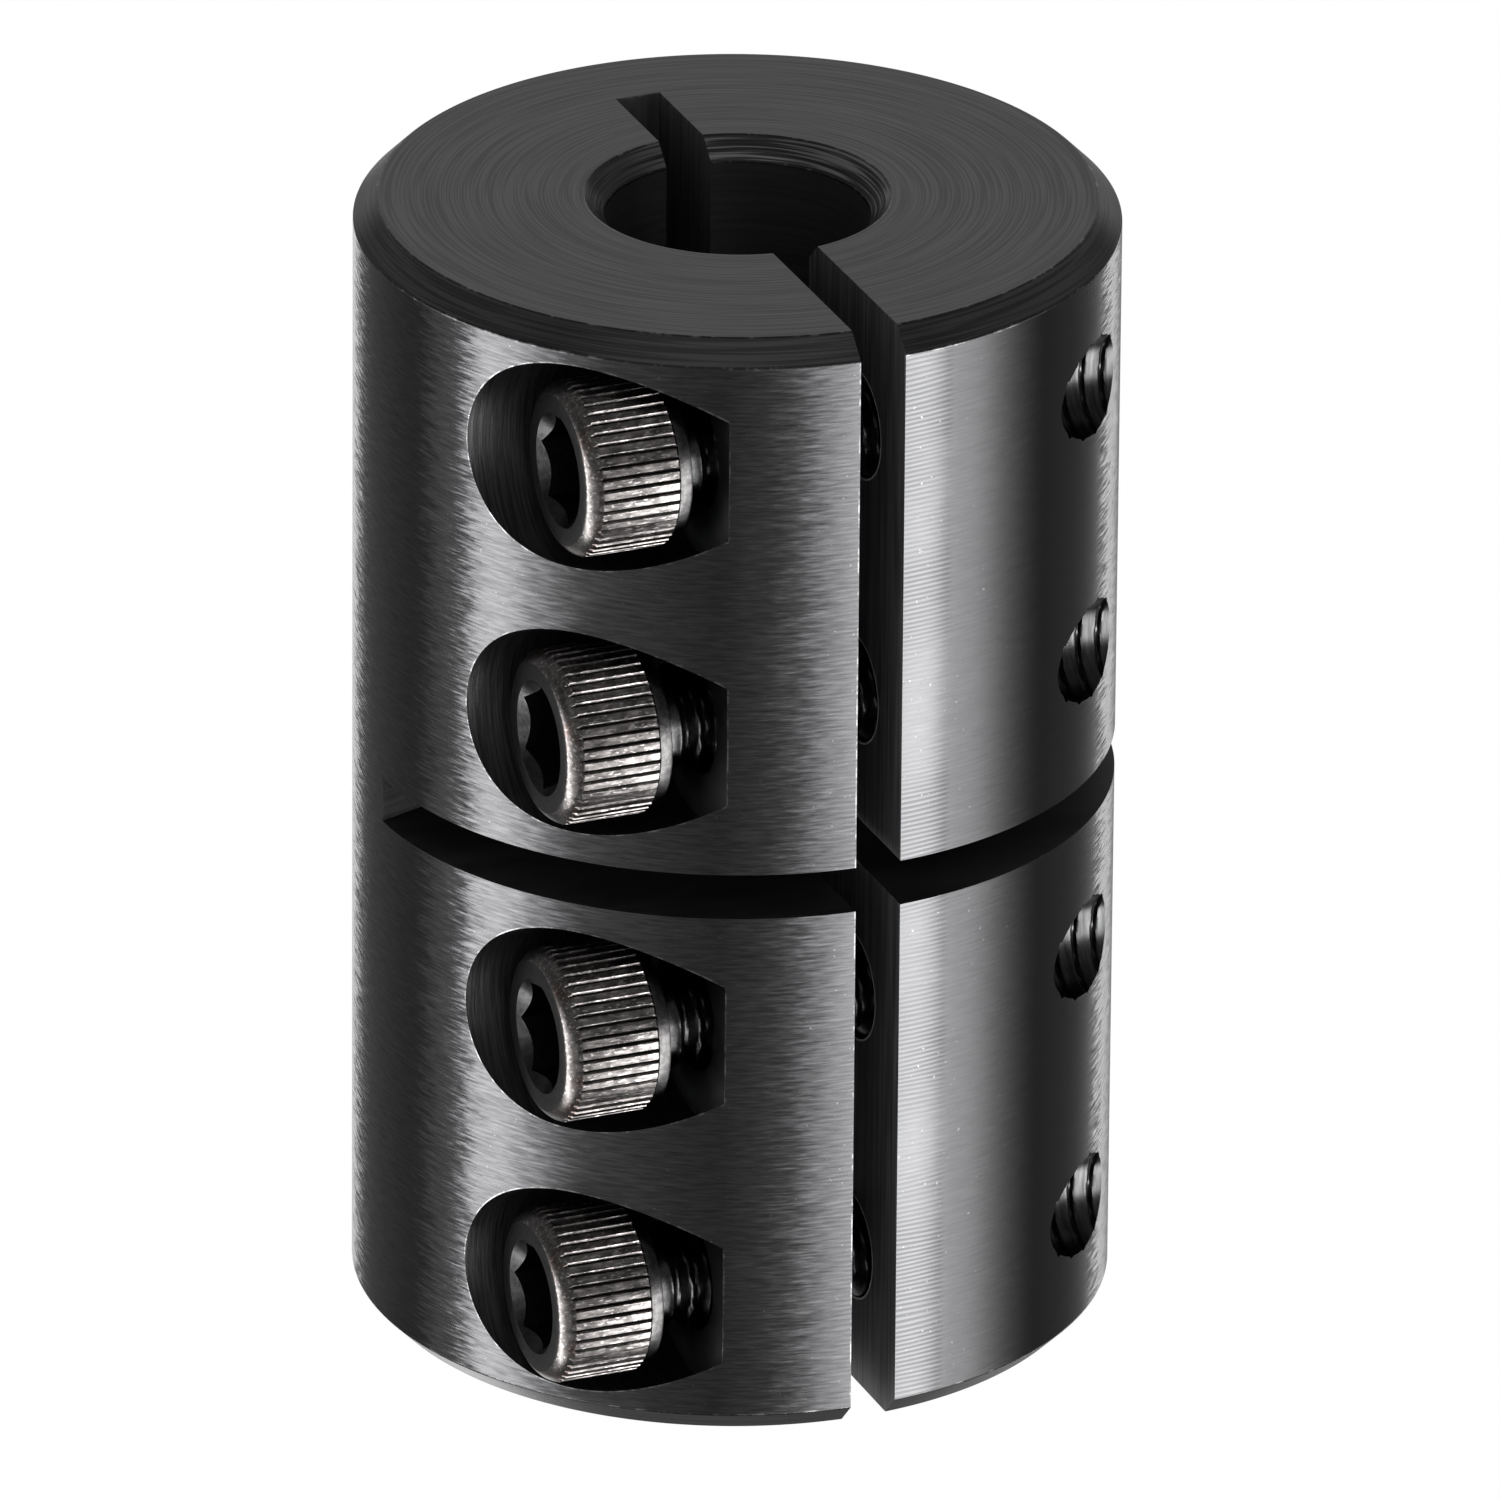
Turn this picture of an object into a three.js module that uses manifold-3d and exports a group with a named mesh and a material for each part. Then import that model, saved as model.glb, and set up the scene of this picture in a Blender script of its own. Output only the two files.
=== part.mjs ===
// Rigid clamping shaft coupling: one slit steel sleeve that grips two shaft ends, closed by four
// socket head cap screws. Millimetres, +Z along the bore, origin at the centre of the lower end face.
// The long slit opens towards -Y. The screws lie along X, with their heads on the -X side.
import * as THREE from "three";
import { mergeVertices } from "three/addons/utils/BufferGeometryUtils.js";
import Module from "manifold-3d";

const wasm = await Module();
wasm.setup();

// Sleeve
const OUTER_RADIUS = 29 / 2;
const LENGTH = 45;
const BORE_RADIUS = 10 / 2;
const OUTER_CHAMFER = 0.9;
const BORE_CHAMFER = 0.8;
const SLIT_WIDTH = 1.8; // the long slit through the front wall and the relief slit behind the bore
const RELIEF_END_Y = 10.15; // blind end of the relief slit
const CROSS_SLOT_WIDTH = 1.8; // parts the upper clamp from the lower one
const CROSS_SLOT_REACH_Y = 2.3; // deepest point of the cross slot, on the middle line
const SAW_RADIUS = 40; // slitting saw that leaves the curved floor of the cross slot

// Screw places, measured on the sleeve
const SCREW_AXIS_Y = -10;
const INNER_SCREW_OFFSET = 6.16; // from the middle of the length, along Z
const OUTER_SCREW_OFFSET = 17;
const SHOULDER_X = -5.7; // floor of each head pocket
const POCKET_RADIUS = 8.2 / 2;
const CLEARANCE_RADIUS = 4.6 / 2;
const TAPPED_RADIUS = 4.2 / 2;

// Socket head cap screw, #8-32 x 1/2 inch
const HEAD_RADIUS = 6.7 / 2;
const HEAD_HEIGHT = 4.17;
const HEAD_FACE_RADIUS = 2.85;
const RIM_BEVEL_LENGTH = 0.55;
const UNDERSIDE_RADIUS = 3.2;
const UNDERSIDE_BAND = 0.5; // smooth band below the knurling
const SOCKET_ACROSS_FLATS = 3.57;
const SOCKET_DEPTH = 2.0;
const SOCKET_CONE_DEPTH = 0.6;
const SHANK_LENGTH = 12.7;
const SHANK_RADIUS = 3.7 / 2; // mean of the thread's crests and roots
const TIP_CHAMFER = 0.4;

// Each screw is backed off its shoulder by its own amount, and its socket stands at its own angle.
const SCREWS = [
  { z: LENGTH / 2 + OUTER_SCREW_OFFSET, gap: 1.36, turnDegrees: 10 },
  { z: LENGTH / 2 + INNER_SCREW_OFFSET, gap: 2.09, turnDegrees: 26 },
  { z: LENGTH / 2 - INNER_SCREW_OFFSET, gap: 2.07, turnDegrees: -3 },
  { z: LENGTH / 2 - OUTER_SCREW_OFFSET, gap: 2.3, turnDegrees: 3 },
];

// How finely round shapes are faceted
const SLEEVE_SEGMENTS = 60;
const HOLE_SEGMENTS = 24;
const SAW_SEGMENTS = 90;
const SCREW_SEGMENTS = 48;
const OVERCUT = 3; // how far a cutting tool runs past the surface that it leaves

const blackenedSteel = new THREE.MeshStandardMaterial({
  color: 0x1b1b1d,
  roughness: 0.42,
  metalness: 0.9,
});
const blackenedScrewSteel = new THREE.MeshStandardMaterial({
  color: 0x2e2d2e,
  roughness: 0.38,
  metalness: 0.95,
});

// A closed geometry as a solid for cutting and joining.
function toSolid(geometry) {
  const bare = geometry.clone();
  bare.deleteAttribute("normal");
  bare.deleteAttribute("uv");
  const merged = mergeVertices(bare);
  const corners = merged.index.array;
  const triangles = [];
  for (let i = 0; i < corners.length; i += 3) {
    const [a, b, c] = corners.subarray(i, i + 3);
    if (a !== b && b !== c && c !== a) triangles.push(a, b, c);
  }
  return new wasm.Manifold(
    new wasm.Mesh({
      numProp: 3,
      vertProperties: new Float32Array(merged.attributes.position.array),
      triVerts: new Uint32Array(triangles),
    }),
  );
}

// The geometry of a solid, ready for a mesh.
function toGeometry(solid) {
  const mesh = solid.getMesh();
  const geometry = new THREE.BufferGeometry();
  geometry.setAttribute("position", new THREE.BufferAttribute(mesh.vertProperties, mesh.numProp));
  geometry.setIndex(new THREE.BufferAttribute(mesh.triVerts, 1));
  geometry.computeVertexNormals();
  return geometry;
}

// A profile of [radius, height] points turned about the Z axis.
function turnedAboutZ(profile, segments) {
  const points = profile.map(([radius, height]) => new THREE.Vector2(radius, height));
  return new THREE.LatheGeometry(points, segments).rotateX(Math.PI / 2);
}

// A profile of [radius, distance] points turned about the X axis.
function turnedAboutX(profile, segments) {
  const points = profile.map(([radius, distance]) => new THREE.Vector2(radius, distance));
  return new THREE.LatheGeometry(points, segments).rotateZ(-Math.PI / 2);
}

// A round bar along X, from startX to endX.
function barAlongX(radius, startX, endX, y, z) {
  const bar = new THREE.CylinderGeometry(radius, radius, endX - startX, HOLE_SEGMENTS);
  return bar.rotateZ(-Math.PI / 2).translate((startX + endX) / 2, y, z);
}

function sleeveBlank() {
  const innerMouth = BORE_RADIUS + BORE_CHAMFER;
  const outerEdge = OUTER_RADIUS - OUTER_CHAMFER;
  const profile = [
    [innerMouth, 0],
    [outerEdge, 0],
    [OUTER_RADIUS, OUTER_CHAMFER],
    [OUTER_RADIUS, LENGTH - OUTER_CHAMFER],
    [outerEdge, LENGTH],
    [innerMouth, LENGTH],
    [BORE_RADIUS, LENGTH - BORE_CHAMFER],
    [BORE_RADIUS, BORE_CHAMFER],
    [innerMouth, 0],
  ];
  return turnedAboutZ(profile, SLEEVE_SEGMENTS);
}

// The long slit: through the front wall, across the bore and blind into the back wall.
function longSlitTool() {
  const frontY = -OUTER_RADIUS - OVERCUT;
  const depth = RELIEF_END_Y - frontY;
  const tool = new THREE.BoxGeometry(SLIT_WIDTH, depth, LENGTH + 2 * OVERCUT);
  return tool.translate(0, frontY + depth / 2, LENGTH / 2);
}

function crossSlotTool() {
  const saw = new THREE.CylinderGeometry(SAW_RADIUS, SAW_RADIUS, CROSS_SLOT_WIDTH, SAW_SEGMENTS);
  return saw.rotateX(Math.PI / 2).translate(0, CROSS_SLOT_REACH_Y - SAW_RADIUS, LENGTH / 2);
}

// Head pocket, clearance hole to the slit, and tapped hole out through the far jaw.
function screwHoleTools(z) {
  const farX = OUTER_RADIUS + OVERCUT;
  return [
    barAlongX(POCKET_RADIUS, -farX, SHOULDER_X, SCREW_AXIS_Y, z),
    barAlongX(CLEARANCE_RADIUS, SHOULDER_X - OVERCUT, 0, SCREW_AXIS_Y, z),
    barAlongX(TAPPED_RADIUS, 0, farX, SCREW_AXIS_Y, z),
  ];
}

function couplingSleeve() {
  let solid = toSolid(sleeveBlank());
  solid = solid.subtract(toSolid(longSlitTool()));
  solid = solid.subtract(toSolid(crossSlotTool()));
  for (const { z } of SCREWS) {
    for (const tool of screwHoleTools(z)) {
      solid = solid.subtract(toSolid(tool));
    }
  }
  const sleeve = new THREE.Mesh(toGeometry(solid), blackenedSteel);
  sleeve.name = "coupling_sleeve";
  return sleeve;
}

// The underside of the head is at x = 0, with the socket towards -X and the tip towards +X.
function screwBlank() {
  const faceX = -HEAD_HEIGHT;
  const profile = [
    [0, faceX],
    [HEAD_FACE_RADIUS, faceX],
    [HEAD_RADIUS, faceX + RIM_BEVEL_LENGTH],
    [HEAD_RADIUS, -UNDERSIDE_BAND],
    [UNDERSIDE_RADIUS, -UNDERSIDE_BAND],
    [UNDERSIDE_RADIUS, 0],
    [SHANK_RADIUS, 0],
    [SHANK_RADIUS, SHANK_LENGTH - TIP_CHAMFER],
    [SHANK_RADIUS - TIP_CHAMFER, SHANK_LENGTH],
    [0, SHANK_LENGTH],
  ];
  return turnedAboutX(profile, SCREW_SEGMENTS);
}

// The hexagonal socket with a corner towards +Y, and the drill point at its bottom.
function socketTools() {
  const cornerRadius = SOCKET_ACROSS_FLATS / Math.sqrt(3);
  const hexLength = SOCKET_DEPTH + OVERCUT;
  const hex = new THREE.CylinderGeometry(cornerRadius, cornerRadius, hexLength, 6);
  hex.rotateY(Math.PI / 6).rotateZ(-Math.PI / 2);
  hex.translate(-HEAD_HEIGHT + SOCKET_DEPTH - hexLength / 2, 0, 0);

  const flatRadius = SOCKET_ACROSS_FLATS / 2;
  const overlap = 0.1;
  const coneDepth = SOCKET_CONE_DEPTH + overlap;
  const coneRadius = (flatRadius * coneDepth) / SOCKET_CONE_DEPTH;
  const cone = new THREE.ConeGeometry(coneRadius, coneDepth, SCREW_SEGMENTS);
  cone.rotateZ(-Math.PI / 2).translate(-HEAD_HEIGHT + SOCKET_DEPTH - overlap + coneDepth / 2, 0, 0);
  return [hex, cone];
}

function capScrewGeometry() {
  let solid = toSolid(screwBlank());
  for (const tool of socketTools()) {
    solid = solid.subtract(toSolid(tool));
  }
  return toGeometry(solid);
}

function capScrews() {
  const geometry = capScrewGeometry();
  const screws = new THREE.Group();
  SCREWS.forEach(({ z, gap, turnDegrees }, index) => {
    const screw = new THREE.Mesh(geometry, blackenedScrewSteel);
    screw.name = `cap_screw_${index + 1}`;
    screw.position.set(SHOULDER_X - gap, SCREW_AXIS_Y, z);
    screw.rotation.x = THREE.MathUtils.degToRad(turnDegrees);
    screws.add(screw);
  });
  return screws;
}

const coupling = new THREE.Group();
coupling.add(couplingSleeve());
coupling.add(capScrews());

export default coupling;
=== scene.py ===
"""Rigid clamping shaft coupling in black oxided steel: the looks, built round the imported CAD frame.

The object's meshes are built in millimetres in the CAD frame, and scaled to metres at the end.
+Z runs along the bore, the long slit opens towards -Y, and the screw heads are on the -X side.
"""

import math

import bmesh
import bpy
from mathutils import Matrix, Vector


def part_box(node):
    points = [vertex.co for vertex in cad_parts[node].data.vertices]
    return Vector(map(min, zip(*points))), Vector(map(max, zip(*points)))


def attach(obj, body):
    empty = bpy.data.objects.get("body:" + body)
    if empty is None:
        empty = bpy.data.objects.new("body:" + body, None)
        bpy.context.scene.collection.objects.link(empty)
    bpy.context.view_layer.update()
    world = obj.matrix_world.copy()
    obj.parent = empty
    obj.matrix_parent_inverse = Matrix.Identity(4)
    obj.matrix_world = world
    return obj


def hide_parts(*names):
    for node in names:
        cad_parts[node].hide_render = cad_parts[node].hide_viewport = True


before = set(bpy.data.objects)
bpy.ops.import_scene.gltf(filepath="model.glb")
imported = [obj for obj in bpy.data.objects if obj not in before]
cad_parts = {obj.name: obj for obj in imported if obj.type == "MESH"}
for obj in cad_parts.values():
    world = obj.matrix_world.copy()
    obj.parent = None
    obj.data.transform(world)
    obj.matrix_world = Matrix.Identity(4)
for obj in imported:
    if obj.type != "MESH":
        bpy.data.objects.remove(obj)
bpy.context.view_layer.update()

MM = 0.001
SCREW_NUMBERS = (1, 2, 3, 4)


def box_mm(node):
    """A CAD node's lowest and highest corners, in millimetres."""
    low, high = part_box(node)
    return low / MM, high / MM


# Sleeve, in millimetres
SLEEVE_LOW, SLEEVE_HIGH = box_mm("coupling_sleeve")
OUTER_RADIUS = (SLEEVE_HIGH.x - SLEEVE_LOW.x) / 2
LENGTH = SLEEVE_HIGH.z
BORE_RADIUS = 5.0
OUTER_CHAMFER = 0.9
BORE_CHAMFER = 0.8
CORNER_ROUNDING = 0.06
SLIT_WIDTH = 1.8
RELIEF_END_Y = 10.15
CROSS_SLOT_WIDTH = 1.8
CROSS_SLOT_REACH_Y = 2.3
SAW_RADIUS = 40.0
SHOULDER_X = -5.7
POCKET_RADIUS = 4.1
CLEARANCE_RADIUS = 2.3
TAPPED_RADIUS = 2.1
FEMALE_THREAD_START_X = 7.1  # past the seated screw's tip
FEMALE_THREAD_RADII = (1.88, 1.98)
FEMALE_THREAD_SHARES = (0.06, 0.7)  # the groove's floor and the land, in pitches
EDGE_WIDTH = 0.05  # of the worn faces along the edges
MERGE_DISTANCE = 0.004
SLIVER_LENGTH = 0.002
OVERCUT = 3.0  # how far the cutting tools reach past the sleeve

# Cap screw, in millimetres, with the underside of its head at x = 0
HEAD_HEIGHT = 4.17
HEAD_RADIUS = 3.35
HEAD_FACE_RADIUS = 2.85
RIM_BEVEL_LENGTH = 0.55
RIM_ROUNDNESS = 0.45  # 0 is a flat bevel, 1 a quarter round
UNDERSIDE_RADIUS = 3.2
UNDERSIDE_BAND = 0.5
UNDERSIDE_CORNER = 0.12
KNURL_RUNOUT = 0.12
KNURL_COUNT = 48
KNURL_DEPTH = 0.11
KNURL_GROOVE = (0.8, 0.2)  # its middle and half its width, in knurl pitches
SOCKET_ACROSS_FLATS = 3.57
SOCKET_MOUTH_RADIUS = 2.2
SOCKET_MOUTH_SLOPE = 0.9
SOCKET_DEPTH = 2.0
SOCKET_CONE_DEPTH = 0.6
DRILL_SHARE = 0.96  # of the hexagon's inscribed circle
SHANK_LENGTH = 12.7
FILLET_RADIUS = 0.25
SCREW_THREAD_RADII = (1.62, 2.03)
SCREW_THREAD_SHARES = (0.14, 0.2)  # the crest's and the root's flats, in pitches
THREAD_PITCH = 25.4 / 32
THREAD_START = 0.75
TIP_CHAMFER = 0.4
SOCKET_TURNS = {1: 10, 2: 26, 3: -3, 4: 3}  # degrees, for each screw

# Mesh fineness
CORNER_STEPS = 3
RIM_BEVEL_STEPS = 8
SLEEVE_SEGMENTS = 360
HOLE_SEGMENTS = 120
SAW_SEGMENTS = 360
THREAD_SEGMENTS = 96
THREAD_ROWS = 12  # in each turn
HEAD_SEGMENTS = KNURL_COUNT * 10
SHARP_ANGLE = math.radians(32)
SQUARE_TO_AXIS = 0.9999  # the least normal component of a face that is square to an axis

# Camera, in degrees and millimetres, fitted to the object's outline
CAMERA_AZIMUTH = -22.25
CAMERA_ELEVATION = 24.4
CAMERA_ROLL = 0.46
CAMERA_DISTANCE = 950.0
CAMERA_LENS = 599.5
CAMERA_SENSOR = 36
CAMERA_OFFSET = (0.63, -0.46)  # to its own right and up
CAMERA_CLIP_END_M = 10


# ---------------------------------------------------------------- mesh helpers

def make_object(name, bm, materials=()):
    """A new object from a bmesh, with its faces pointing out."""
    bmesh.ops.recalc_face_normals(bm, faces=bm.faces[:])
    mesh = bpy.data.meshes.new(name)
    bm.to_mesh(mesh)
    bm.free()
    for material in materials:
        mesh.materials.append(material)
    made = bpy.data.objects.new(name, mesh)
    bpy.context.scene.collection.objects.link(made)
    return made


def add_ring(bm, points):
    return [bm.verts.new(point) for point in points]


def bridge(bm, ring, other, material_index=0):
    """Faces between two rings. One ring may have a whole number of times the other's corners."""
    fine, coarse = (ring, other) if len(ring) >= len(other) else (other, ring)
    step = len(fine) // len(coarse)
    for i in range(len(coarse)):
        side = [fine[(i * step + k) % len(fine)] for k in range(step + 1)]
        face = bm.faces.new(side + [coarse[(i + 1) % len(coarse)], coarse[i]])
        face.material_index = material_index


def close_ring(bm, ring, centre, material_index=0):
    """A fan of triangles from a ring to a point."""
    tip = bm.verts.new(centre)
    for i, corner in enumerate(ring):
        face = bm.faces.new((corner, ring[(i + 1) % len(ring)], tip))
        face.material_index = material_index


def ring_about_x(x, y, z, radius, count):
    """Points of a ring about an axis along X. x and radius are numbers, or functions of the angle."""
    points = []
    for i in range(count):
        angle = 2 * math.pi * i / count
        reach = radius(angle) if callable(radius) else radius
        along = x(angle) if callable(x) else x
        points.append((along, y + reach * math.cos(angle), z + reach * math.sin(angle)))
    return points


def thread_radius(root, crest, phase, crest_share, root_share):
    """Radius of a thread at a phase. The shares are the flats' widths in pitches."""
    from_crest = abs(phase % 1 - 0.5) * 2
    down = (from_crest - crest_share) / (1 - root_share - crest_share)
    return crest + (root - crest) * min(max(down, 0), 1)


def smooth_with_sharp_edges(made):
    """Smooth shading, flat across the edges that turn more than SHARP_ANGLE."""
    bm = bmesh.new()
    bm.from_mesh(made.data)
    for face in bm.faces:
        face.smooth = True
    for edge in bm.edges:
        edge.smooth = len(edge.link_faces) == 2 and edge.calc_face_angle(0) < SHARP_ANGLE
    bm.to_mesh(made.data)
    bm.free()


# ---------------------------------------------------------------- sleeve

def rounded_ring_profile(corners, rounding, edge_surface):
    """Points of a closed [radius, height, surface] profile with its corners rounded.

    A corner's surface is the one of the line that follows it. The roundings are edge_surface.
    """
    profile = []
    for i, (radius, height, surface) in enumerate(corners):
        here = Vector((radius, height))
        before = Vector(corners[i - 1][:2])
        after = Vector(corners[(i + 1) % len(corners)][:2])
        start = here + (before - here).normalized() * rounding
        end = here + (after - here).normalized() * rounding
        for k in range(CORNER_STEPS + 1):
            t = k / CORNER_STEPS
            point = (1 - t) ** 2 * start + 2 * t * (1 - t) * here + t * t * end
            profile.append((point.x, point.y, surface if k == CORNER_STEPS else edge_surface))
    return profile


def sleeve_blank(surfaces):
    """The turned blank: a ring with chamfered ends. surfaces maps a surface's name to its index."""
    inner_mouth = BORE_RADIUS + BORE_CHAMFER
    outer_edge = OUTER_RADIUS - OUTER_CHAMFER
    corners = [
        (inner_mouth, 0, surfaces["end"]),
        (outer_edge, 0, surfaces["chamfer"]),
        (OUTER_RADIUS, OUTER_CHAMFER, surfaces["side"]),
        (OUTER_RADIUS, LENGTH - OUTER_CHAMFER, surfaces["chamfer"]),
        (outer_edge, LENGTH, surfaces["end"]),
        (inner_mouth, LENGTH, surfaces["mouth"]),
        (BORE_RADIUS, LENGTH - BORE_CHAMFER, surfaces["bore"]),
        (BORE_RADIUS, BORE_CHAMFER, surfaces["mouth"]),
    ]
    profile = rounded_ring_profile(corners, CORNER_ROUNDING, surfaces["edge"])
    bm = bmesh.new()
    columns = []
    for i in range(SLEEVE_SEGMENTS):
        angle = 2 * math.pi * (i + 0.5) / SLEEVE_SEGMENTS
        x, y = math.cos(angle), math.sin(angle)
        columns.append(add_ring(bm, [(r * x, r * y, z) for r, z, surface in profile]))
    for i, column in enumerate(columns):
        following = columns[(i + 1) % len(columns)]
        for j, (r, z, surface) in enumerate(profile):
            k = (j + 1) % len(profile)
            face = bm.faces.new((column[j], following[j], following[k], column[k]))
            face.material_index = surface
    return bm


def long_slit_tool(material):
    """The long slit: through the front wall, across the bore and blind into the back wall."""
    low = (-SLIT_WIDTH / 2, -OUTER_RADIUS - OVERCUT, -OVERCUT)
    high = (SLIT_WIDTH / 2, RELIEF_END_Y, LENGTH + OVERCUT)
    bm = bmesh.new()
    bmesh.ops.create_cube(bm, size=1)
    for vertex in bm.verts:
        for axis in range(3):
            middle = (low[axis] + high[axis]) / 2
            vertex.co[axis] = middle + vertex.co[axis] * (high[axis] - low[axis])
    return make_object("long_slit_tool", bm, [material])


def cross_slot_tool(material):
    """The saw blade's disc, which cuts the cross slot from the front."""
    bm = bmesh.new()
    bmesh.ops.create_cone(
        bm,
        cap_ends=True,
        segments=SAW_SEGMENTS,
        radius1=SAW_RADIUS,
        radius2=SAW_RADIUS,
        depth=CROSS_SLOT_WIDTH,
        matrix=Matrix.Translation((0, CROSS_SLOT_REACH_Y - SAW_RADIUS, LENGTH / 2)),
    )
    return make_object("cross_slot_tool", bm, [material])


def bar_tool(name, radius, start_x, end_x, y, z, material):
    """A round bar along X."""
    bm = bmesh.new()
    start = add_ring(bm, ring_about_x(start_x, y, z, radius, HOLE_SEGMENTS))
    end = add_ring(bm, ring_about_x(end_x, y, z, radius, HOLE_SEGMENTS))
    bridge(bm, start, end)
    bm.faces.new(start)
    bm.faces.new(end)
    return make_object(name, bm, [material])


def tapped_hole_tool(y, z, material):
    """A plain hole from the slit, and the female thread from there out through the side."""
    minor, major = FEMALE_THREAD_RADII
    lead_in = THREAD_PITCH / 2
    bm = bmesh.new()
    first = add_ring(bm, ring_about_x(0, y, z, TAPPED_RADIUS, THREAD_SEGMENTS))
    bm.faces.new(first)
    ring = first
    rows = int((OUTER_RADIUS + OVERCUT - FEMALE_THREAD_START_X) / THREAD_PITCH * THREAD_ROWS)
    for row in range(rows + 1):
        x = FEMALE_THREAD_START_X + row * THREAD_PITCH / THREAD_ROWS
        blend = min((x - FEMALE_THREAD_START_X) / lead_in, 1)

        def radius(angle):
            phase = x / THREAD_PITCH - angle / (2 * math.pi)
            cut = thread_radius(minor, major, phase, *FEMALE_THREAD_SHARES)
            return TAPPED_RADIUS + (cut - TAPPED_RADIUS) * blend

        following = add_ring(bm, ring_about_x(x, y, z, radius, THREAD_SEGMENTS))
        bridge(bm, ring, following)
        ring = following
    bm.faces.new(ring)
    return make_object("tapped_hole_tool", bm, [material])


def subtract(target, tool):
    """Cuts the tool out of the target. The cut faces keep the tool's material."""
    cut = target.modifiers.new("cut", "BOOLEAN")
    cut.operation = "DIFFERENCE"
    cut.solver = "MANIFOLD"
    cut.material_mode = "TRANSFER"
    cut.object = tool
    graph = bpy.context.evaluated_depsgraph_get()
    mesh = bpy.data.meshes.new_from_object(target.evaluated_get(graph))
    target.modifiers.clear()
    target.data = mesh
    bpy.data.objects.remove(tool)


def wear_edges(made, edge_index, kept_indices):
    """Turns the sharp edges into narrow faces of the edge material, but not on the kept surfaces."""
    bm = bmesh.new()
    bm.from_mesh(made.data)
    bmesh.ops.remove_doubles(bm, verts=bm.verts[:], dist=MERGE_DISTANCE)
    bmesh.ops.dissolve_degenerate(bm, edges=bm.edges[:], dist=SLIVER_LENGTH)
    sharp = []
    for edge in bm.edges:
        if len(edge.link_faces) != 2 or edge.calc_face_angle(0) < SHARP_ANGLE:
            continue
        if any(face.material_index in kept_indices for face in edge.link_faces):
            continue
        sharp.append(edge)
    bmesh.ops.bevel(
        bm,
        geom=sharp,
        offset=EDGE_WIDTH,
        offset_type="OFFSET",
        segments=2,
        profile=0.5,
        affect="EDGES",
        clamp_overlap=True,
        material=edge_index,
    )
    bm.to_mesh(made.data)
    bm.free()


def true_normal(surface, point, flat, axes):
    """The exact normal of a cut surface at a point, or None where the mesh's own is kept.

    flat is the face's own normal, and axes are the screws' (y, z) places.
    """
    outward = Vector((point.x, point.y, 0)).normalized()
    end = Vector((0, 0, 1 if point.z > LENGTH / 2 else -1))
    if surface == "side":
        return outward
    if surface == "bore":
        return -outward
    if surface == "chamfer":
        return (outward + end).normalized()
    if surface == "mouth":
        return (end - outward).normalized()
    if surface in ("end", "slit") or max(map(abs, flat)) > SQUARE_TO_AXIS:
        return flat
    if surface == "pocket":
        y, z = min(axes, key=lambda axis: abs(axis[1] - point.z))
        return Vector((0, y - point.y, z - point.z)).normalized()
    return None


def set_true_normals(sleeve, names, axes):
    """Exact normals on the turned and milled surfaces. names are the surfaces' names."""
    mesh = sleeve.data
    normals = [corner.vector.copy() for corner in mesh.corner_normals]
    for polygon in mesh.polygons:
        for loop in polygon.loop_indices:
            point = mesh.vertices[mesh.loops[loop].vertex_index].co
            exact = true_normal(names[polygon.material_index], point, polygon.normal, axes)
            if exact is not None:
                normals[loop] = exact
    mesh.normals_split_custom_set(normals)


def screw_axes():
    """The (y, z) places of the screws' axes."""
    axes = []
    for number in SCREW_NUMBERS:
        low, high = box_mm(f"cap_screw_{number}")
        axes.append(((low.y + high.y) / 2, (low.z + high.z) / 2))
    return axes


def build_sleeve(materials, axes):
    """The sleeve, cut from its blank as the real one is. axes are the screws' (y, z) places."""
    names = list(materials)
    surfaces = {name: index for index, name in enumerate(names)}
    sleeve = make_object("clamping_sleeve", sleeve_blank(surfaces), materials.values())
    subtract(sleeve, long_slit_tool(materials["slit"]))
    subtract(sleeve, cross_slot_tool(materials["cross_slot"]))
    far_x = OUTER_RADIUS + OVERCUT
    inside_x = SHOULDER_X - OVERCUT
    milled = materials["pocket"]
    for y, z in axes:
        subtract(sleeve, bar_tool("pocket", POCKET_RADIUS, -far_x, SHOULDER_X, y, z, milled))
        subtract(sleeve, bar_tool("clearance", CLEARANCE_RADIUS, inside_x, 0, y, z, milled))
        subtract(sleeve, tapped_hole_tool(y, z, materials["thread"]))
    wear_edges(sleeve, surfaces["edge"], {surfaces["thread"], surfaces["edge"]})
    smooth_with_sharp_edges(sleeve)
    set_true_normals(sleeve, names, axes)
    sleeve.data.transform(Matrix.Scale(MM, 4))
    return sleeve


# ---------------------------------------------------------------- cap screws

def knurled_radius(angle):
    """Radius of the head's side: flat crests with a V groove between them."""
    phase = angle * KNURL_COUNT / (2 * math.pi) % 1
    middle, half_width = KNURL_GROOVE
    groove = max(1 - abs(phase - middle) / half_width, 0)
    return HEAD_RADIUS - KNURL_DEPTH * groove


def hexagon_radius(angle):
    """Radius of the socket's wall, with a corner at angle 0."""
    flat = SOCKET_ACROSS_FLATS / 2
    return flat / math.cos(angle % (math.pi / 3) - math.pi / 6)


def socket_mouth_depth(angle):
    """How deep the socket's conical mouth goes before it meets the hexagon's wall."""
    return (SOCKET_MOUTH_RADIUS - hexagon_radius(angle)) * SOCKET_MOUTH_SLOPE


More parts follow.
